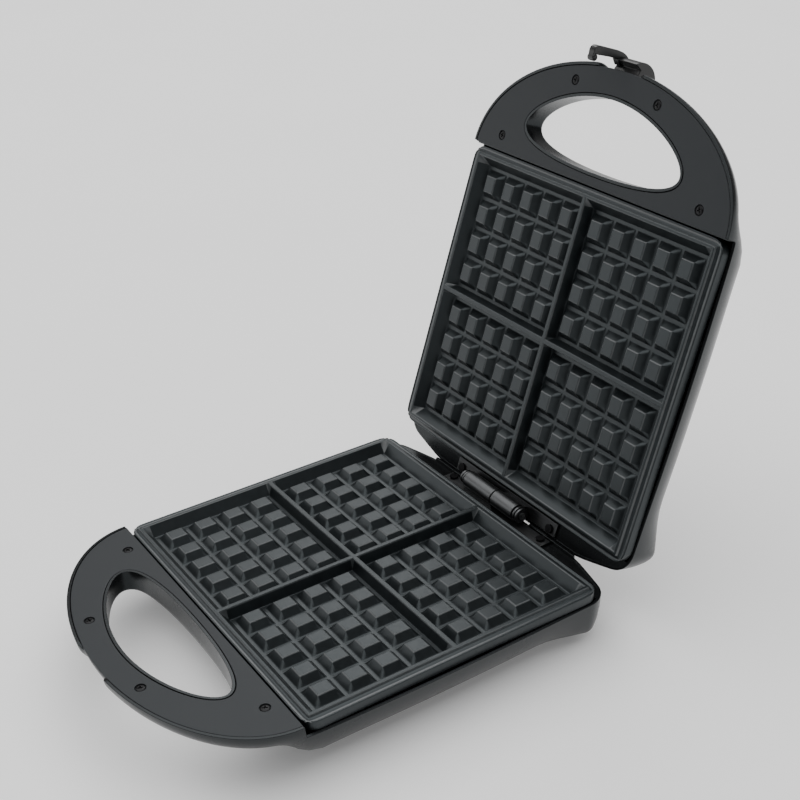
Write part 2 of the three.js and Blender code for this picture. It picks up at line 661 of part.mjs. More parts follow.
// Pieces that both halves have, with `turn` taking a base piece to its half.
function addHalf(group, half, turn) {
  group.add(named(`${half}_handle_cover`, turn(handleCover()), COVER_PLASTIC));
  COVER_SCREWS.forEach(([x, y], i) => {
    group.add(named(`${half}_cover_screw_${i + 1}`, turn(coverScrew(x, y)), BLACK_STEEL));
  });
  group.add(named(`${half}_waffle_plate`, turn(wafflePlate()), NON_STICK));
  PLATE_SCREWS.forEach(([x, y], i) => {
    group.add(named(`${half}_plate_screw_${i + 1}`, turn(plateScrew(x, y)), BRIGHT_STEEL));
  });
  group.add(named(`${half}_heating_element`, turn(heatingElement()), BLACK_STEEL));
  group.add(named(`${half}_reflector`, turn(reflector()), ALUMINIUM));
  group.add(named(`${half}_element_lead_left`, turn(elementLead(-1)), WIRE_SLEEVE));
  group.add(named(`${half}_element_lead_right`, turn(elementLead(1)), WIRE_SLEEVE));
  group.add(named(`${half}_hinge_screw_left`, turn(hingeScrew(-1)), BLACK_STEEL));
  group.add(named(`${half}_hinge_screw_right`, turn(hingeScrew(1)), BLACK_STEEL));
}

function baseHalf() {
  const group = new THREE.Group();
  const same = (geometry) => geometry;
  group.add(named('base_housing', baseHousing(), SHELL_PLASTIC));
  addHalf(group, 'base', same);
  group.add(named('base_thermostat', thermostat(), CERAMIC));
  group.add(named('base_terminal_block', terminalBlock(), CERAMIC));
  group.add(named('cord_inlet_bushing', inletBushing(), RUBBER));
  const corners = ['front_left', 'front_right', 'rear_left', 'rear_right'];
  FEET.forEach(([x, y], i) => group.add(named(`foot_${corners[i]}`, rubberFoot(x, y), RUBBER)));
  group.add(named('base_hinge_leaf', hingeLeaf(BASE_BARREL), SATIN_STEEL));
  group.add(named('hinge_pin', hingePin(), BRIGHT_STEEL));
  group.add(named('hinge_collar_left', hingeCollar(-1), SATIN_STEEL));
  group.add(named('hinge_collar_right', hingeCollar(1), SATIN_STEEL));
  return group;
}

function lidHalf() {
  const group = new THREE.Group();
  group.add(named('lid_housing', lidHousing(), SHELL_PLASTIC));
  addHalf(group, 'lid', mirrored);
  group.add(named('lid_thermal_fuse', mirrored(thermalFuse()), CERAMIC));
  const rightLeaf = mirrored(hingeLeaf(LID_BARREL));
  rightLeaf.scale(-1, 1, 1);
  group.add(named('lid_hinge_leaf', flipped(rightLeaf), SATIN_STEEL));
  group.add(named('latch', latch(), SHELL_PLASTIC));
  group.add(named('latch_pin', crossCylinder(-LUG_OUTER + 1, LUG_OUTER - 1, LATCH_Y, LATCH_Z, 2, 12), BRIGHT_STEEL));
  group.add(named('power_lamp_lens', lampLens(...LAMPS[0]), RED_LENS));
  group.add(named('ready_lamp_lens', lampLens(...LAMPS[1]), GREEN_LENS));
  for (const mesh of group.children) mesh.geometry.translate(0, -HINGE_Y, -MATE_Z);
  group.position.set(0, HINGE_Y, MATE_Z);
  group.rotation.x = -OPEN_ANGLE * Math.PI / 180;
  return group;
}

const machine = new THREE.Group();
machine.add(baseHalf());
machine.add(lidHalf());
machine.updateMatrixWorld(true);
const bounds = new THREE.Box3().setFromObject(machine, true);
const wafflemaker = new THREE.Group();
wafflemaker.add(machine);
machine.position.set(-(bounds.min.x + bounds.max.x) / 2, -(bounds.min.y + bounds.max.y) / 2, -bounds.min.z);

export default wafflemaker;
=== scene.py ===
"""Looks of the waffle maker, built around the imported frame.

Shapes are drawn in millimetres about the middle of the lower plate, with z above the table, as the
base half lies. A piece of the lid is drawn the same way and carried over by half_matrix("lid"),
which mirrors it in the mating plane and swings it open about the hinge.
"""

import json
import math

import bmesh
import bpy
import numpy as np
from mathutils import Matrix, Vector


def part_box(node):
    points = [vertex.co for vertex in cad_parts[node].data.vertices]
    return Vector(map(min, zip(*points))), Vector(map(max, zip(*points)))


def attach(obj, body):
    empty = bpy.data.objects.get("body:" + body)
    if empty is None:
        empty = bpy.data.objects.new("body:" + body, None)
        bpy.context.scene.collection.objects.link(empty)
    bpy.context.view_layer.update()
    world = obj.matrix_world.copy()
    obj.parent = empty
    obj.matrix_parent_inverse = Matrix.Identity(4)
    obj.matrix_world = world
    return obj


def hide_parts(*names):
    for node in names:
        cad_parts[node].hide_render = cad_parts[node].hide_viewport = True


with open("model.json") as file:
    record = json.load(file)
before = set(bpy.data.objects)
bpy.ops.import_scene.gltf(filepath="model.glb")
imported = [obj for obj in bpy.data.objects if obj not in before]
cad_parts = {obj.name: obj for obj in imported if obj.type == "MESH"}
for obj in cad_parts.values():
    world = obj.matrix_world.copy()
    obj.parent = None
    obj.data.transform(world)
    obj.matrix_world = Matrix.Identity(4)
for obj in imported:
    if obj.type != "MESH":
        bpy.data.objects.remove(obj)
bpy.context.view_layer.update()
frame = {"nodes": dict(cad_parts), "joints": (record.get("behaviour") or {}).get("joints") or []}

# ------------------------------------------------------------------ sizes taken from the frame

MM = 0.001
PLATE_LOW, PLATE_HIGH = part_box("base_waffle_plate")
ORIGIN_Y = (PLATE_LOW.y + PLATE_HIGH.y) / 2
RIDGE_Z = PLATE_HIGH.z / MM
RIM_X = PLATE_HIGH.x / MM
RIM_Y = (PLATE_HIGH.y - ORIGIN_Y) / MM
JOINTS = {joint["name"]: joint for joint in frame["joints"]}
HINGE = Vector(JOINTS["lid_hinge"]["pos_m"])
LATCH_PIVOT = Vector(JOINTS["latch_pivot"]["pos_m"])
OPEN_ANGLE = math.radians(JOINTS["lid_hinge"]["range_deg"][1])
MATE_Z = HINGE.z / MM
HINGE_Y = (HINGE.y - ORIGIN_Y) / MM
HOUSING_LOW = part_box("base_housing")[0]
COVER_LOW, COVER_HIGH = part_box("base_handle_cover")
BOTTOM_Z = HOUSING_LOW.z / MM

# ------------------------------------------------------------------ the object's own sizes, in millimetres

STUD_PITCH = (20, 21)
FIRST_STUD = (14.5, 15.3)
STUD_COUNT = (5, 4)
STUD_TOP_HALF = (4.6, 5.2)
STUD_FOOT_HALF = (8.7, 9.2)
STUD_HEIGHT = 5.5
RIDGE_HEIGHT = 2
DIVIDER_TOP = 1.4
DIVIDER_FOOT = 3.6
POCKET_TOP = (110.7, 95.4)
POCKET_FOOT = (105.5, 89.9)
FLOOR_Z = RIDGE_Z - RIDGE_HEIGHT - STUD_HEIGHT
SKIRT_Z = RIDGE_Z - 7.7

LIP_HALF_X = 120
LIP_REACH = 74
HANDLE_Y = -103
BULGE = 1.8
REAR_Y = 117.5
CORNER_R = 18
CORNER_Y = 93
SIDE_INSET = 30
HANDLE_INSET = 25
REAR_INSET = 9
HANDLE_BOTTOM_Z = 25.5
EDGE_Z = MATE_Z - 8.8
WALL = 1.9
HOLE_CENTRE = (0, -131)
HOLE_WALL_Z = 31
HOLE_FLARE = 7
HOLE_WALL = 1.9
COVER_GAP = 0.45
COVER_TOP = COVER_HIGH.z / MM
COVER_UNDER = COVER_LOW.z / MM
NOTCH_OUTER = 20
NOTCH_INNER = 14.5
NOTCH_DEPTH = 2.5
NOTCH_DROP = 2.5
WALL_SWEEP = math.radians(62)
BLEND = 7
DECK_INSET = 1.2
DECK_START = 99
BULKHEAD_HALF = 118
BULKHEAD_LOW = 37
RIB_START = 31
RIB_END = 76
RIB_Y = 115
RIB_THICK = 1.6
RIB_HEIGHT = 2.8


def half_matrix(half):
    """Takes drawn millimetres to the row frame for one half of the machine."""
    to_row = Matrix.Translation((0, ORIGIN_Y, 0)) @ Matrix.Scale(MM, 4)
    if half == "base":
        return to_row
    mirror = Matrix.Translation((0, 0, 2 * HINGE.z)) @ Matrix.Scale(-1, 4, (0, 0, 1))
    return swing_open() @ mirror @ to_row


def swing_open():
    back = Matrix.Translation(HINGE)
    return back @ Matrix.Rotation(-OPEN_ANGLE, 4, "X") @ back.inverted()


# ------------------------------------------------------------------ materials


def new_material(name):
    material = bpy.data.materials.new(name)
    material.use_nodes = True
    tree = material.node_tree
    tree.nodes.clear()
    output = tree.nodes.new("ShaderNodeOutputMaterial")
    shader = tree.nodes.new("ShaderNodeBsdfPrincipled")
    tree.links.new(shader.outputs["BSDF"], output.inputs["Surface"])
    return material, tree, shader


def noise(tree, scale, detail=4, roughness=0.6):
    coordinates = tree.nodes.new("ShaderNodeTexCoord")
    texture = tree.nodes.new("ShaderNodeTexNoise")
    texture.inputs["Scale"].default_value = scale
    texture.inputs["Detail"].default_value = detail
    texture.inputs["Roughness"].default_value = roughness
    tree.links.new(coordinates.outputs["Object"], texture.inputs["Vector"])
    return texture


def ramp(tree, source, low, high, start=0.3, end=0.7):
    """A colour or grey ramp fed by a texture's factor."""
    node = tree.nodes.new("ShaderNodeValToRGB")
    node.color_ramp.elements[0].position = start
    node.color_ramp.elements[1].position = end
    node.color_ramp.elements[0].color = (*low, 1)
    node.color_ramp.elements[1].color = (*high, 1)
    tree.links.new(source, node.inputs["Fac"])
    return node.outputs["Color"]


def value_range(tree, source, low, high):
    node = tree.nodes.new("ShaderNodeMapRange")
    node.inputs["From Min"].default_value = 0.25
    node.inputs["From Max"].default_value = 0.75
    node.inputs["To Min"].default_value = low
    node.inputs["To Max"].default_value = high
    tree.links.new(source, node.inputs["Value"])
    return node.outputs["Result"]


def bump(tree, shader, source, strength, distance):
    node = tree.nodes.new("ShaderNodeBump")
    node.inputs["Strength"].default_value = strength
    node.inputs["Distance"].default_value = distance
    tree.links.new(source, node.inputs["Height"])
    tree.links.new(node.outputs["Normal"], shader.inputs["Normal"])


def surface(name, colour, spread, rough, metallic=0.0, grain=1600, grain_depth=0.00002, mottle=60,
            specular=0.5, coat=0.0, tint=(1, 1, 1)):
    """A moulded or cast surface: slight mottling, uneven gloss and a fine grain."""
    material, tree, shader = new_material(name)
    broad = noise(tree, mottle, 5)
    fine = noise(tree, grain, 3, 0.7)
    low = tuple(c * (1 - spread) for c in colour)
    high = tuple(c * (1 + spread) for c in colour)
    tree.links.new(ramp(tree, broad.outputs["Fac"], low, high), shader.inputs["Base Color"])
    tree.links.new(value_range(tree, broad.outputs["Fac"], rough[0], rough[1]), shader.inputs["Roughness"])
    bump(tree, shader, fine.outputs["Fac"], 0.6, grain_depth)
    shader.inputs["Metallic"].default_value = metallic
    shader.inputs["Specular IOR Level"].default_value = specular
    shader.inputs["Specular Tint"].default_value = (*tint, 1)
    shader.inputs["Coat Weight"].default_value = coat
    shader.inputs["Coat Roughness"].default_value = 0.2
    return material


def brushed(name, colour, rough, stretch):
    """Metal with fine lines along x."""
    material, tree, shader = new_material(name)
    coordinates = tree.nodes.new("ShaderNodeTexCoord")
    mapping = tree.nodes.new("ShaderNodeMapping")
    mapping.inputs["Scale"].default_value = stretch
    texture = tree.nodes.new("ShaderNodeTexNoise")
    texture.inputs["Scale"].default_value = 900
    texture.inputs["Detail"].default_value = 4
    tree.links.new(coordinates.outputs["Object"], mapping.inputs["Vector"])
    tree.links.new(mapping.outputs["Vector"], texture.inputs["Vector"])
    low = tuple(c * 0.8 for c in colour)
    tree.links.new(ramp(tree, texture.outputs["Fac"], low, colour), shader.inputs["Base Color"])
    tree.links.new(value_range(tree, texture.outputs["Fac"], rough[0], rough[1]), shader.inputs["Roughness"])
    bump(tree, shader, texture.outputs["Fac"], 0.35, 0.00002)
    shader.inputs["Metallic"].default_value = 1.0
    return material


COOL = (0.86, 0.96, 1.0)

SHELL = surface("moulded_shell", (0.005, 0.0052, 0.0056), 0.1, (0.22, 0.3), grain=1500, mottle=45,
                grain_depth=0.00001, specular=0.36, tint=COOL)
COVER = surface("textured_cover", (0.021, 0.0215, 0.0232), 0.08, (0.46, 0.54), grain=2200,
                grain_depth=0.00003, mottle=50, specular=0.32, tint=COOL)
NON_STICK = surface("non_stick_coating", (0.0045, 0.006, 0.0068), 0.3, (0.34, 0.42), grain=1300,
                    grain_depth=0.00004, mottle=240, specular=0.56, tint=COOL)
# A lighter copy of the non-stick coating that paints a highlight onto the rounded top edges of the plate.
PAINTED_EDGE_HIGHLIGHT = surface("non_stick_with_painted_edge_highlight", (0.045, 0.052, 0.055), 0.3, (0.3, 0.4), grain=1300,
                      grain_depth=0.00004, mottle=240, specular=0.7)
LATCH_PLASTIC = surface("latch_moulding", (0.01, 0.0102, 0.0105), 0.1, (0.25, 0.33), mottle=90)
RUBBER = surface("foot_rubber_surface", (0.012, 0.012, 0.012), 0.2, (0.7, 0.85), grain=900, mottle=120)
BLACK_SCREW = surface("black_oxide", (0.012, 0.012, 0.013), 0.3, (0.28, 0.42), metallic=0.7, mottle=500)
HINGE_STEEL = brushed("satin_hinge_steel", (0.12, 0.123, 0.126), (0.3, 0.46), (0.1, 1, 1))
BRIGHT_STEEL = brushed("zinc_plated_steel", (0.5, 0.51, 0.52), (0.25, 0.4), (0.2, 1, 1))
SHEET_METAL = brushed("reflector_sheet", (0.7, 0.71, 0.72), (0.22, 0.38), (0.15, 1, 1))
ELEMENT = surface("element_sheath_metal", (0.06, 0.055, 0.05), 0.35, (0.35, 0.55), metallic=0.9, mottle=80)
CERAMIC = surface("ceramic_body", (0.72, 0.69, 0.62), 0.05, (0.45, 0.6), grain=700, mottle=90)
SLEEVE = surface("glass_fibre_sleeve", (0.55, 0.51, 0.42), 0.15, (0.7, 0.85), grain=2500,
                 grain_depth=0.0001, mottle=600)
RED_LENS = surface("red_lamp_lens", (0.42, 0.012, 0.01), 0.08, (0.1, 0.16), grain=400, mottle=200, coat=0.6)
GREEN_LENS = surface("green_lamp_lens", (0.015, 0.28, 0.05), 0.08, (0.1, 0.16), grain=400, mottle=200,
                     coat=0.6)


# ------------------------------------------------------------------ mesh helpers


def mark_edges(bm, sharp_degrees):
    limit = math.radians(sharp_degrees)
    for face in bm.faces:
        face.smooth = True
    for edge in bm.edges:
        if len(edge.link_faces) == 2:
            edge.smooth = edge.calc_face_angle(0) < limit


def make_piece(name, bm, matrix, body, material, replaces, sharp_degrees=30):
    """A bmesh drawn in millimetres becomes a piece of the object."""
    bmesh.ops.transform(bm, matrix=matrix, verts=bm.verts)
    bmesh.ops.recalc_face_normals(bm, faces=bm.faces)
    mark_edges(bm, sharp_degrees)
    mesh = bpy.data.meshes.new(name)
    bm.to_mesh(mesh)
    bm.free()
    piece = bpy.data.objects.new(name, mesh)
    bpy.context.scene.collection.objects.link(piece)
    mesh.materials.append(material)
    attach(piece, body)
    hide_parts(*replaces)
    return piece


def add_bevel(piece, width_mm, segments=2, degrees=35):
    modifier = piece.modifiers.new("soft_edges", "BEVEL")
    modifier.width = width_mm * MM
    modifier.segments = segments
    modifier.limit_method = "ANGLE"
    modifier.angle_limit = math.radians(degrees)
    modifier.harden_normals = False
    weighted = piece.modifiers.new("weighted_normals", "WEIGHTED_NORMAL")
    weighted.keep_sharp = True
    return piece


def grid_faces(bm, rows, closed_rows=False, closed_columns=True):
    """Quads between rows of vertices that all have the same number of vertices."""
    count = len(rows[0])
    pairs = list(zip(rows, rows[1:]))
    if closed_rows:
        pairs.append((rows[-1], rows[0]))
    last = count if closed_columns else count - 1
    for one, other in pairs:
        for i in range(last):
            j = (i + 1) % count
            bm.faces.new((one[i], one[j], other[j], other[i]))


def lathe(bm, profile, axis_matrix, steps=40):
    """A closed profile of (radius, height) pairs turned about z, then placed by axis_matrix."""
    rows = []
    for k in range(steps):
        angle = 2 * math.pi * k / steps
        rows.append([bm.verts.new(axis_matrix @ Vector((r * math.cos(angle), r * math.sin(angle), h)))
                     for r, h in profile])
    grid_faces(bm, rows, closed_rows=True, closed_columns=True)


def prism(bm, points, x0, x1):
    """A side view of (y, z) pairs drawn out along x."""
    near = [bm.verts.new((x0, y, z)) for y, z in points]
    far = [bm.verts.new((x1, y, z)) for y, z in points]
    bm.faces.new(near)
    bm.faces.new(list(reversed(far)))
    grid_faces(bm, [near, far])


def slab(bm, points, z0, z1):
    """A plan of (x, y) pairs drawn up from z0 to z1."""
    low = [bm.verts.new((x, y, z0)) for x, y in points]
    high = [bm.verts.new((x, y, z1)) for x, y in points]
    bm.faces.new(low)
    bm.faces.new(list(reversed(high)))
    grid_faces(bm, [low, high])


def carve(piece, cutter):
    """Cuts the cutter's mesh out of the piece and removes the cutter."""
    modifier = piece.modifiers.new("cut", "BOOLEAN")
    modifier.operation = "DIFFERENCE"
    modifier.solver = "EXACT"
    modifier.object = cutter
    bpy.context.view_layer.update()
    evaluated = piece.evaluated_get(bpy.context.evaluated_depsgraph_get())
    mesh = bpy.data.meshes.new_from_object(evaluated)
    piece.modifiers.remove(modifier)
    old = piece.data
    piece.data = mesh
    bpy.data.meshes.remove(old)
    bpy.data.objects.remove(cutter)


def smooth_step(start, end, value):
    t = min(1, max(0, (value - start) / (end - start)))
    return t * t * (3 - 2 * t)


# ------------------------------------------------------------------ outlines


def side_x(y):
    return LIP_HALF_X + BULGE * (1 - ((y + 10) / 93) ** 2)


def shell_outline():
    """Plan of the shell as an array of points, counter-clockwise from the tip of the handle."""
    half = []
    for a in np.concatenate([np.linspace(1, 11, 12), np.linspace(13, 88, 32)]):
        angle = math.radians(a)
        half.append((LIP_HALF_X * math.sin(angle), HANDLE_Y - LIP_REACH * math.cos(angle)))
    for y in np.concatenate([[-103.9, -103.2, -102.7, -102.2, -101.2], np.linspace(-97, CORNER_Y, 24)]):
        half.append((side_x(max(y, HANDLE_Y)), y))
    corner_x = side_x(CORNER_Y) - CORNER_R
    for a in np.linspace(8, 76, 9):
        half.append((corner_x + CORNER_R * math.cos(math.radians(a)),
                     CORNER_Y + CORNER_R * math.sin(math.radians(a))))
    half += [(98, 112.4), (90, 114.3), (82, 116.1), (75, 117.3), (68, REAR_Y), (54, REAR_Y), (36, REAR_Y),
             (18, REAR_Y), (6, REAR_Y)]
    right = [(0, HANDLE_Y - LIP_REACH)] + half
    left = [(-x, y) for x, y in reversed(half)]
    return np.array(right + left)


def inward(points):
    """Unit normals of a counter-clockwise outline, pointing inwards."""
    along = np.roll(points, -1, 0) - np.roll(points, 1, 0)
    along /= np.linalg.norm(along, axis=1)[:, None]
    return np.stack([-along[:, 1], along[:, 0]], 1)


def bezier(a, b, c, d, steps):
    t = np.linspace(0, 1, steps, endpoint=False)[:, None]
    a, b, c, d = (np.array(p, float) for p in (a, b, c, d))
    return (1 - t) ** 3 * a + 3 * t * (1 - t) ** 2 * b + 3 * t ** 2 * (1 - t) * c + t ** 3 * d


def hole_outline(steps=120):
    """The finger hole, counter-clockwise from its front."""
    quarter = [bezier((0, -156.5), (38, -156.5), (71.5, -137), (71.5, -126), steps),
               bezier((71.5, -126), (71.5, -115), (38, -111), (0, -111), steps),
               bezier((0, -111), (-38, -111), (-71.5, -115), (-71.5, -126), steps),
               bezier((-71.5, -126), (-71.5, -137), (-38, -156.5), (0, -156.5), steps)]
    return np.concatenate(quarter)


def on_hole(targets, grow):
    """Where the line from the hole's centre to each target crosses the hole's edge, grown outwards."""
    edge = hole_outline()
    edge = edge - inward(edge) * grow
    centre = np.array(HOLE_CENTRE, float)
    angles = np.unwrap(np.arctan2(*(edge - centre).T[::-1]))
    wanted = np.arctan2(*(targets - centre).T[::-1])
    wanted = np.where(wanted < angles[0], wanted + 2 * math.pi, wanted)
    wanted = np.where(wanted > angles[0] + 2 * math.pi, wanted - 2 * math.pi, wanted)
    index = np.append(angles, angles[0] + 2 * math.pi)
    closed = np.vstack([edge, edge[:1]])
    return np.stack([np.interp(wanted, index, closed[:, 0]), np.interp(wanted, index, closed[:, 1])], 1)


def distance_to(points, outline):
    """Shortest distance from each point to a closed outline."""
    start = outline[None]
    step = np.roll(outline, -1, 0)[None] - start
    offset = points[:, None] - start
    t = np.clip((offset * step).sum(2) / (step ** 2).sum(2), 0, 1)
    return np.sqrt(((offset - t[..., None] * step) ** 2).sum(2)).min(1)


# ------------------------------------------------------------------ housing


def draw_in(y):
    front = HANDLE_INSET + (SIDE_INSET - HANDLE_INSET) * smooth_step(-140, -60, y)
    return front + (REAR_INSET - front) * smooth_step(60, 105, y)


def bottom_at(y):
    return HANDLE_BOTTOM_Z + (BOTTOM_Z - HANDLE_BOTTOM_Z) * smooth_step(-120, -89, y)


def smooth_max(a, b, reach):
    h = np.maximum(reach - np.abs(a - b), 0) / reach
    return np.maximum(a, b) + h * h * reach / 4


def in_notch(x, y):
    return smooth_step(NOTCH_OUTER, NOTCH_INNER, abs(x)) if y < -150 else 0


def lip_height(x, y):
    if in_notch(x, y) > 0:
        return RIDGE_Z - NOTCH_DROP * in_notch(x, y)
    return RIDGE_Z - (RIDGE_Z - EDGE_Z) * smooth_step(-103.7, -102.4, y)


def quarter_drop(distance, width, top, low):
    """Height of a quarter-ellipse wall at some distance in from its edge."""
    share = np.clip(1 - distance / width, 0, 1)
    return top - (top - low) * np.sqrt(1 - share ** 2)


def shell_rows():
    """Rows of points (x, y, z) from the lip, down and under, and up into the finger hole."""
    outline = shell_outline()
    normals = inward(outline)
    width = np.array([draw_in(y) for x, y in outline])
    low = np.array([bottom_at(y) for x, y in outline])
    notch = np.array([in_notch(x, y) for x, y in outline])
    start = np.array([math.asin((RIDGE_Z - lip_height(x, y)) / (RIDGE_Z - bottom_at(y))) for x, y in outline])
    hole = hole_outline(30)
    rows = []
    outer_steps = 12
    for k in range(outer_steps + 1):
        angle = start + (WALL_SWEEP - start) * k / outer_steps
        inset = width * (1 - np.cos(angle)) + NOTCH_DEPTH * notch * (1 - k / outer_steps)
        plan = outline + normals * inset[:, None]
        height = RIDGE_Z - (RIDGE_Z - low) * np.sin(angle)
        rows.append((plan, height, None))
    inner_edge = on_hole(outline, 0)
    inner_normals = -inner_normal(inner_edge)
    flare = []
    flare_low = np.array([bottom_at(y) for x, y in inner_edge])
    for k in range(8, -1, -1):
        angle = WALL_SWEEP * k / 8
        plan = inner_edge + inner_normals * HOLE_FLARE * (1 - math.cos(angle))
        flare.append((plan, None, HOLE_WALL_Z - (HOLE_WALL_Z - flare_low) * math.sin(angle)))
    outer_end, inner_end = rows[-1][0], flare[0][0]
    middle_steps = 16
    for k in range(1, middle_steps):
        rows.append((outer_end + (inner_end - outer_end) * k / middle_steps, None, None))
    rows += flare
    points = []
    for plan, outer_height, inner_height in rows:
        lows = np.array([bottom_at(y) for x, y in plan])
        if outer_height is None:
            widths = np.array([draw_in(y) for x, y in plan])
            outer_height = quarter_drop(distance_to(plan, outline), widths, RIDGE_Z, lows)
        if inner_height is None:
            inner_height = quarter_drop(distance_to(plan, hole), HOLE_FLARE, HOLE_WALL_Z, lows)
        points.append(np.column_stack([plan, smooth_max(outer_height, inner_height, BLEND)]))
    for z in (36, 40, RIDGE_Z):
        points.append(np.column_stack([inner_edge, np.full(len(inner_edge), z)]))
    return points


def inner_normal(points):
    """Normals of the finger hole's edge at given points on it, pointing into the hole."""
    edge = hole_outline()
    normals = inward(edge)
    nearest = np.linalg.norm(points[:, None] - edge[None], axis=2).argmin(1)
    return normals[nearest]


def thicken(bm, thickness):
    """Turns an open skin into a closed wall, growing to the side its normals point away from."""
    mesh = bpy.data.meshes.new("skin")
    bm.to_mesh(mesh)
    skin = bpy.data.objects.new("skin", mesh)
    bpy.context.scene.collection.objects.link(skin)
    modifier = skin.modifiers.new("wall", "SOLIDIFY")
    modifier.thickness = thickness
    modifier.offset = -1
    bpy.context.view_layer.update()
    solid = bpy.data.meshes.new_from_object(skin.evaluated_get(bpy.context.evaluated_depsgraph_get()))
    bm.clear()
    bm.from_mesh(solid)
    bpy.data.objects.remove(skin)


def housing(half):
    bm = bmesh.new()
    rows = [[bm.verts.new(point) for point in row] for row in shell_rows()]
    grid_faces(bm, rows)
    bmesh.ops.recalc_face_normals(bm, faces=bm.faces)
    bm.normal_update()
    lowest = min(bm.faces, key=lambda face: face.calc_center_median().z)
    if lowest.normal.z > 0:
        bmesh.ops.reverse_faces(bm, faces=bm.faces)
    thicken(bm, WALL)
    deck = [(x, y) for x, y in shell_outline() + inward(shell_outline()) * DECK_INSET if y > DECK_START]
    deck = sorted((p for p in deck if p[0] > 0), key=lambda p: p[1]) + sorted(
        (p for p in deck if p[0] < 0), key=lambda p: -p[1])
    slab(bm, deck, EDGE_Z - WALL, EDGE_Z)
    front, back = HANDLE_Y - 1.4, HANDLE_Y + 0.6
    slab(bm, [(-BULKHEAD_HALF, front), (BULKHEAD_HALF, front), (BULKHEAD_HALF, back), (-BULKHEAD_HALF, back)],
         BULKHEAD_LOW, COVER_UNDER - 0.3)
    if half == "base":
        for side in (-1, 1):
            near, far = sorted((side * RIB_START, side * RIB_END))
            front, back = RIB_Y, RIB_Y + RIB_THICK
            slab(bm, [(near, front), (far, front), (far, back), (near, back)],
                 EDGE_Z - 1, EDGE_Z + RIB_HEIGHT)
    piece = make_piece(f"{half}_shell", bm, half_matrix(half), half, SHELL,
                       [f"{half}_housing"], sharp_degrees=40)
    return add_bevel(piece, 0.2)


# ------------------------------------------------------------------ handle cover and its screws


def cover_outline():
    outline = shell_outline()
    edge = outline + inward(outline) * (WALL + COVER_GAP)
    rear = HANDLE_Y - 0.35
    front = np.array([p for p in edge if p[1] < rear - 0.6])
    right = front[front[:, 0] >= 0]
    left = front[front[:, 0] < 0]
    corner = LIP_HALF_X - WALL - COVER_GAP
    back = [(x, rear) for x in np.linspace(corner, -corner, 49)]
    return np.array([tuple(p) for p in right] + back + [tuple(p) for p in left])


def corner_rows(edge, normals, z_low, z_high, radius):
    """Rows from the underside of an edge up round its softened top corner."""
    rows = [(edge, z_low)]
    for k in range(4):
        angle = math.radians(30 * k)
        rows.append((edge + normals * radius * (1 - math.cos(angle)),
                     z_high - radius * (1 - math.sin(angle))))
    return rows


def handle_cover(half):
    bm = bmesh.new()
    outer = cover_outline()
    inner = on_hole(outer, HOLE_WALL + COVER_GAP)
    outer_rows = corner_rows(outer, inward(outer), COVER_UNDER, COVER_TOP, 0.35)
    inner_rows = corner_rows(inner, -inner_normal(inner), COVER_UNDER, COVER_TOP, 0.35)
    plans = outer_rows
    for k in range(1, 6):
        plans.append((outer_rows[-1][0] + (inner_rows[-1][0] - outer_rows[-1][0]) * k / 6, COVER_TOP))
    plans = plans + inner_rows[::-1]
    rows = [[bm.verts.new((x, y, z)) for x, y in plan] for plan, z in plans]
    grid_faces(bm, rows, closed_rows=True)
    cutter_bm = bmesh.new()
    for x, y in screw_places():
        seat = [(0.01, COVER_TOP - 1.1), (3.3, COVER_TOP - 1.1), (3.55, COVER_TOP + 1), (0.01, COVER_TOP + 1)]
        lathe(cutter_bm, seat, Matrix.Translation((x, y, 0)), 32)
    matrix = half_matrix(half)
    cutter = loose_object("cutter", cutter_bm, matrix)
    piece = make_piece(f"{half}_cover", bm, matrix, half, COVER, [f"{half}_handle_cover"])
    carve(piece, cutter)
    weighted = piece.modifiers.new("weighted_normals", "WEIGHTED_NORMAL")
    weighted.keep_sharp = True
    return piece


def loose_object(name, bm, matrix):
    bmesh.ops.transform(bm, matrix=matrix, verts=bm.verts)
    bmesh.ops.recalc_face_normals(bm, faces=bm.faces)
    mesh = bpy.data.meshes.new(name)
    bm.to_mesh(mesh)
    bm.free()
    made = bpy.data.objects.new(name, mesh)
    bpy.context.scene.collection.objects.link(made)
    return made


def screw_places():
    """Centres of the four cover screws, read from the base's own screws."""
    places = []
    for k in range(1, 5):
        low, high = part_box(f"base_cover_screw_{k}")
        places.append(((low.x + high.x) / 2 / MM, ((low.y + high.y) / 2 - ORIGIN_Y) / MM))
    return places


def cross_recess(angle, turn):
    """Radius of the driver recess of a screw head in one direction."""
    wing = abs(math.cos(2 * (angle - turn))) ** 3
    return 0.7 + 1.15 * wing


def cover_screws(half):
    dome = [(2.0, -0.03), (2.5, -0.14), (2.8, -0.4), (2.9, -0.7), (2.9, -1.0)]
    steps = 48
    for k, (x, y) in enumerate(screw_places(), 1):
        turn = 0.6 + 1.3 * k
        angles = [2 * math.pi * i / steps for i in range(steps)]
        recess = [cross_recess(a, turn) for a in angles]
        rows = [([0.75 * q for q in recess], -0.85), ([0.97 * q for q in recess], -0.1), (recess, 0)]
        rows += [([radius] * steps, z) for radius, z in dome]
        bm = bmesh.new()
        top = COVER_TOP - 0.1
        rings = [[bm.verts.new((x + q * math.cos(a), y + q * math.sin(a), top + z))
                  for q, a in zip(radii, angles)] for radii, z in rows]
        grid_faces(bm, rings)
        bm.faces.new(rings[0])
        bm.faces.new(rings[-1])
        make_piece(f"{half}_screw_{k}", bm, half_matrix(half), half, BLACK_SCREW,
                   [f"{half}_cover_screw_{k}"], sharp_degrees=50)


# ------------------------------------------------------------------ waffle plate


def soft_clamp(value, top, soft=0.3):
    """value held between 0 and top, with rounded ends."""
    low = smooth_max(value, 0, soft * 2)
    return -smooth_max(-low, -top, soft * 2)


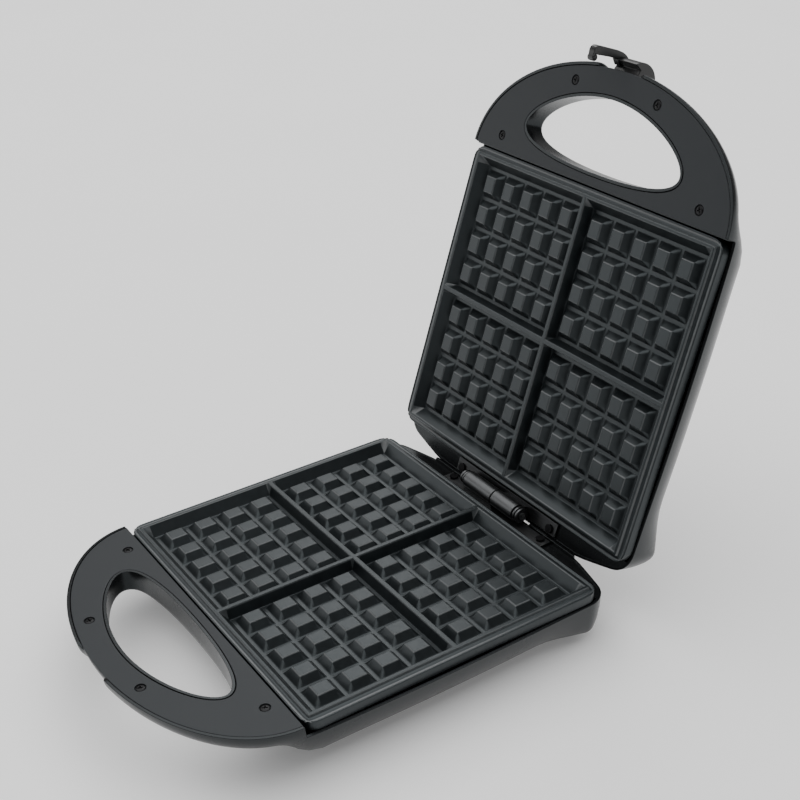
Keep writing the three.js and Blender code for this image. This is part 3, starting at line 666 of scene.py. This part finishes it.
def stud_lines(axis):
    """Grid lines along one axis from the middle outwards, up to the top of the pocket wall."""
    lines = [0.0]
    spread = (-0.12, -0.04, 0.05, 0.13)

    def edge(position, width):
        lines.extend(position + width * s for s in spread)

    edge(DIVIDER_TOP, DIVIDER_FOOT - DIVIDER_TOP)
    edge(DIVIDER_FOOT, DIVIDER_FOOT - DIVIDER_TOP)
    slope = STUD_FOOT_HALF[axis] - STUD_TOP_HALF[axis]
    for i in range(STUD_COUNT[axis]):
        centre = FIRST_STUD[axis] + i * STUD_PITCH[axis]
        edge(centre - STUD_FOOT_HALF[axis], slope)
        edge(centre - STUD_TOP_HALF[axis], slope)
        edge(centre + STUD_TOP_HALF[axis], slope)
        edge(centre + STUD_FOOT_HALF[axis], slope)
    wall = POCKET_TOP[axis] - POCKET_FOOT[axis]
    edge(POCKET_FOOT[axis], wall * 0.5)
    edge(POCKET_TOP[axis], wall * 0.5)
    return sorted(lines)


# Rim profile outside the pockets: share of the way from the pocket's edge to the rim, and depth
# below the ridge.
RIM_PROFILE = [(0.14, 0), (0.22, 0.08), (0.27, 0.5), (0.31, 1.25), (0.36, 1.55), (0.42, 1.6), (0.5, 1.62),
               (0.54, 1.9), (0.6, 2.15), (0.78, 2.15), (0.84, 1.9), (0.88, 1.64), (0.94, 1.6), (0.98, 1.72),
               (1.0, 2.1)]


def axis_lines(axis):
    """All grid positions along one axis with the rim's depth where it applies."""
    rim = (RIM_X, RIM_Y)[axis]
    inner = stud_lines(axis)
    first = inner[-1]
    outer = [(first + (rim - first) * share, depth) for share, depth in RIM_PROFILE]
    positive = [(p, 0) for p in inner] + outer
    negative = [(-p, d) for p, d in positive[:0:-1]]
    return negative + positive


def pocket_height(x, y):
    """Height of the plate above the pocket floor, inside the pockets and on the ridges around them."""
    rise = []
    for axis, value in ((0, abs(x)), (1, abs(y))):
        slope = STUD_FOOT_HALF[axis] - STUD_TOP_HALF[axis]
        index = round((value - FIRST_STUD[axis]) / STUD_PITCH[axis])
        index = min(STUD_COUNT[axis] - 1, max(0, index))
        away = abs(value - FIRST_STUD[axis] - index * STUD_PITCH[axis])
        rise.append((STUD_FOOT_HALF[axis] - away) / slope * STUD_HEIGHT)
    stud = soft_clamp(min(rise), STUD_HEIGHT)
    full = STUD_HEIGHT + RIDGE_HEIGHT
    walls = []
    for axis, value in ((0, abs(x)), (1, abs(y))):
        divider = (DIVIDER_FOOT - value) / (DIVIDER_FOOT - DIVIDER_TOP) * full
        wall = (value - POCKET_FOOT[axis]) / (POCKET_TOP[axis] - POCKET_FOOT[axis]) * full
        walls.append(max(divider, wall))
    return max(stud, soft_clamp(max(walls), full))


CORNER_START = (108.5, 92.2)
# Depth band below the tops of the studs and walls whose faces get the painted edge highlight.
HIGHLIGHT_BAND = (0.05, 0.9)


def round_corner(x, y):
    """Bends the square corners of the grid into concentric arcs."""
    reach_x, reach_y = RIM_X - CORNER_START[0], RIM_Y - CORNER_START[1]
    u = (abs(x) - CORNER_START[0]) / reach_x
    v = (abs(y) - CORNER_START[1]) / reach_y
    if u <= 0 or v <= 0:
        return x, y
    bent_u = u * math.sqrt(1 - v * v / 2)
    bent_v = v * math.sqrt(1 - u * u / 2)
    return (math.copysign(CORNER_START[0] + bent_u * reach_x, x),
            math.copysign(CORNER_START[1] + bent_v * reach_y, y))


def mark_painted_highlight_edges(bm):
    """Gives the rounded top edges of studs, dividers and pocket walls a lighter material: a painted highlight
    along those edges.
    """
    full = STUD_HEIGHT + RIDGE_HEIGHT
    for face in bm.faces:
        height = sum(v.co.z for v in face.verts) / len(face.verts) - FLOOR_Z
        for top in (STUD_HEIGHT, full):
            if HIGHLIGHT_BAND[0] < top - height < HIGHLIGHT_BAND[1]:
                face.material_index = 1


def waffle_plate(half):
    bm = bmesh.new()
    columns, lines = axis_lines(0), axis_lines(1)
    rows = []
    for y, depth_y in lines:
        row = []
        for x, depth_x in columns:
            z = FLOOR_Z + pocket_height(x, y)
            if depth_x or depth_y:
                z = RIDGE_Z - max(depth_x, depth_y)
            row.append(bm.verts.new((*round_corner(x, y), z)))
        rows.append(row)
    for one, other in zip(rows, rows[1:]):
        for i in range(len(columns) - 1):
            a, b, c, d = one[i], one[i + 1], other[i + 1], other[i]
            flat = abs(a.co.z - b.co.z + c.co.z - d.co.z) < 1e-3
            if flat:
                bm.faces.new((a, b, c, d))
            elif abs(a.co.z - c.co.z) > abs(b.co.z - d.co.z):
                bm.faces.new((a, b, c))
                bm.faces.new((a, c, d))
            else:
                bm.faces.new((a, b, d))
                bm.faces.new((b, c, d))
    # Faces on the rounded top edges get the lighter material: a painted highlight.
    mark_painted_highlight_edges(bm)
    border = rows[0] + [row[-1] for row in rows[1:]] + rows[-1][-2::-1] + [row[0] for row in rows[-2:0:-1]]
    skirt = [border]
    for inset, z in ((0.0, SKIRT_Z + 0.5), (0.15, SKIRT_Z), (4, SKIRT_Z), (4.2, SKIRT_Z - 2)):
        scale_x = 1 - inset / RIM_X
        scale_y = 1 - inset / RIM_Y
        skirt.append([bm.verts.new((v.co.x * scale_x, v.co.y * scale_y, z)) for v in border])
    grid_faces(bm, skirt)
    bm.faces.new(skirt[-1])
    piece = make_piece(f"{half}_plate", bm, half_matrix(half), half, NON_STICK,
                       [f"{half}_waffle_plate"], sharp_degrees=70)
    # The second material paints a highlight on the rounded top edges marked above.
    piece.data.materials.append(PAINTED_EDGE_HIGHLIGHT)
    weighted = piece.modifiers.new("weighted_normals", "WEIGHTED_NORMAL")
    weighted.keep_sharp = True
    return piece


# ------------------------------------------------------------------ hinge

BARREL_R = 5.9
PIN_R = 2.4
BARREL_LENGTHS = {"base": 30, "lid": 23}
COLLAR_WIDTH = 4
ALONG_X = Matrix.Rotation(math.pi / 2, 4, "Y")


def ring_profile(inner, outer, start, end, soft):
    return [(inner, start), (outer - soft, start), (outer - soft * 0.3, start + soft * 0.3),
            (outer, start + soft), (outer, end - soft), (outer - soft * 0.3, end - soft * 0.3),
            (outer - soft, end), (inner, end)]


def hinge_leaf(half):
    """A strip on the deck with one knuckle: left of the middle on the base, right of it on the lid."""
    side = -1 if half == "base" else 1
    axis = Matrix.Translation((0, HINGE_Y, MATE_Z)) @ ALONG_X
    span = sorted((side * 0.4, side * BARREL_LENGTHS[half]))
    bm = bmesh.new()
    lathe(bm, ring_profile(PIN_R + 0.35, BARREL_R, span[0], span[1], 0.5), axis, 48)
    low = EDGE_Z + 0.2
    slab(bm, [(-54, 105.4), (54, 105.4), (54, 114.6), (-54, 114.6)], low, low + 1.4)
    web = [(107.6, low + 1), (115.4, low + 1), (115.4, MATE_Z - 3.4), (107.6, MATE_Z - 3.4)]
    prism(bm, web, *span)
    piece = make_piece(f"{half}_hinge_plate", bm, half_matrix(half), half, HINGE_STEEL,
                       [f"{half}_hinge_leaf"])
    return add_bevel(piece, 0.25)


def hinge_collars():
    axis = half_matrix("base") @ Matrix.Translation((0, HINGE_Y, MATE_Z)) @ ALONG_X
    for side, name, length in ((-1, "left", BARREL_LENGTHS["base"]), (1, "right", BARREL_LENGTHS["lid"])):
        bm = bmesh.new()
        start = length + 0.8
        bands = [(start, start + 1.6, 5.2), (start + 1.5, start + 2.4, 4.0),
                 (start + 2.3, start + COLLAR_WIDTH, 5.0)]
        for near, far, radius in bands:
            low, high = sorted((side * near, side * far))
            lathe(bm, ring_profile(PIN_R + 0.35, radius, low, high, 0.3), Matrix.Identity(4), 40)
        make_piece(f"hinge_ring_{name}", bm, axis, "base", HINGE_STEEL,
                   [f"hinge_collar_{name}"])


# ------------------------------------------------------------------ latch


def latch():
    """The swinging latch, drawn about its pivot as the lid lies closed."""
    bm = bmesh.new()
    half_width = 11
    arm_width = 5
    drum = [(-13 * math.sin(math.radians(a)), 13 * math.cos(math.radians(a))) for a in range(-4, 141, 6)]
    drum = [p for p in drum if p[1] > -7.6] + [(-8.1, -1.9), (-2.5, -4.2), (0.6, -4.9)]
    prism(bm, drum, -half_width, half_width)
    arm = [(-7.5, -4), (-7.5, 2), (-12.9, 2), (-14.6, -0.6), (-15.6, -3.6), (-16.2, -8), (-16.2, -23.5),
           (-15.9, -25.4), (-14.9, -26.8), (-13.4, -27.4), (-11, -27.4), (-10.6, -23.1), (-11.2, -12),
           (-10.8, -7)]
    prism(bm, arm, -half_width, arm_width - half_width)
    barb = Matrix.Translation((0, -8.7, -25.4)) @ ALONG_X
    lathe(bm, ring_profile(0.01, 2.2, -half_width, arm_width - half_width, 0.4), barb, 28)
    neck = [(-12, -27.3), (-8.7, -27.5), (-8.7, -24.6), (-12, -24.4)]
    prism(bm, neck, 0.3 - half_width, arm_width - half_width - 0.3)
    place = Matrix.Translation(LATCH_PIVOT) @ Matrix.Rotation(-OPEN_ANGLE, 4, "X") @ Matrix.Scale(MM, 4)
    piece = make_piece("lid_latch", bm, place, "latch", LATCH_PLASTIC, ["latch"])
    return add_bevel(piece, 0.45)


# ------------------------------------------------------------------ CAD nodes that stay

KEPT = {
    "plate_screw": BRIGHT_STEEL, "heating_element": ELEMENT, "reflector": SHEET_METAL,
    "element_lead": SLEEVE, "hinge_screw": BLACK_SCREW, "thermostat": CERAMIC, "thermal_fuse": CERAMIC,
    "terminal_block": CERAMIC, "cord_inlet": RUBBER, "foot_": RUBBER, "hinge_pin": BRIGHT_STEEL,
    "latch_pin": BRIGHT_STEEL, "power_lamp": RED_LENS, "ready_lamp": GREEN_LENS,
}


def dress_cad_nodes():
    for name, node in frame["nodes"].items():
        for key, material in KEPT.items():
            if key in name:
                node.data.materials.clear()
                node.data.materials.append(material)
                for polygon in node.data.polygons:
                    polygon.use_smooth = False
                if key in ("foot_", "power_lamp", "ready_lamp", "cord_inlet", "hinge_screw"):
                    add_bevel(node, 0.2)


# ------------------------------------------------------------------ light, floor and camera


def area_light(name, place, target, size, power, colour=(1, 1, 1)):
    data = bpy.data.lights.new(name, "AREA")
    data.shape = "RECTANGLE"
    data.size, data.size_y = size
    data.energy = power
    data.color = colour
    light = bpy.data.objects.new(name, data)
    bpy.context.scene.collection.objects.link(light)
    light.location = place
    light.rotation_euler = (Vector(target) - Vector(place)).to_track_quat("-Z", "Y").to_euler()
    return light


def studio():
    world = bpy.data.worlds.new("studio")
    bpy.context.scene.world = world
    world.use_nodes = True
    background = world.node_tree.nodes["Background"]
    background.inputs["Color"].default_value = (1, 1, 1, 1)
    background.inputs["Strength"].default_value = 0.18
    centre = (0, 0, 0.1)
    area_light("overhead_softbox", (-1.0, 0.5, 4.0), (-1.0, 0.5001, 0), (8, 8), 400)
    area_light("left_fill", (-2.2, -1.9, 0.8), (0, 0.1, 0.2), (2.0, 1.2), 12)
    area_light("back_softbox", (-2.4, 1.9, 2.2), centre, (2.4, 1.2), 16)
    bm = bmesh.new()
    reach = 14
    corners = [bm.verts.new((x, y, 0)) for x, y in ((-reach, -reach), (reach, -reach), (reach, reach),
                                                    (-reach, reach))]
    bm.faces.new(corners)
    mesh = bpy.data.meshes.new("studio_floor")
    bm.to_mesh(mesh)
    bm.free()
    floor = bpy.data.objects.new("studio_floor", mesh)
    bpy.context.scene.collection.objects.link(floor)
    paper = surface("pale_floor", (0.9, 0.9, 0.9), 0.01, (0.6, 0.7), grain=300, mottle=4)
    glow = paper.node_tree.nodes["Principled BSDF"]
    glow.inputs["Emission Color"].default_value = (1, 1, 1, 1)
    glow.inputs["Emission Strength"].default_value = 0.15
    mesh.materials.append(paper)


CAMERA_ANGLES = (58.116, 28.214, -2.762)
CAMERA_LENS = 61.4
CAMERA_PLACE = Vector((0.6216, -0.3467, 0.4930))


def camera():
    """Three-quarter view from the right front, a little above."""
    azimuth, elevation, roll = (math.radians(a) for a in CAMERA_ANGLES)
    view = Vector((-math.sin(azimuth) * math.cos(elevation), math.cos(azimuth) * math.cos(elevation),
                   -math.sin(elevation)))
    level = view.cross(Vector((0, 0, 1))).normalized()
    above = level.cross(view)
    right = math.cos(roll) * level + math.sin(roll) * above
    up = -math.sin(roll) * level + math.cos(roll) * above
    data = bpy.data.cameras.new("camera")
    data.lens = CAMERA_LENS
    data.sensor_width = 36
    data.dof.use_dof = False
    data.clip_end = 60
    eye = bpy.data.objects.new("camera", data)
    bpy.context.scene.collection.objects.link(eye)
    rotation = Matrix((right, up, -view)).transposed().to_4x4()
    place = CAMERA_PLACE + Vector((0, ORIGIN_Y, (RIDGE_Z - RIDGE_HEIGHT) * MM))
    eye.matrix_world = Matrix.Translation(place) @ rotation
    bpy.context.scene.camera = eye


studio()
camera()
for half in ("base", "lid"):
    housing(half)
    handle_cover(half)
    cover_screws(half)
    waffle_plate(half)
    hinge_leaf(half)
hinge_collars()
latch()
dress_cad_nodes()
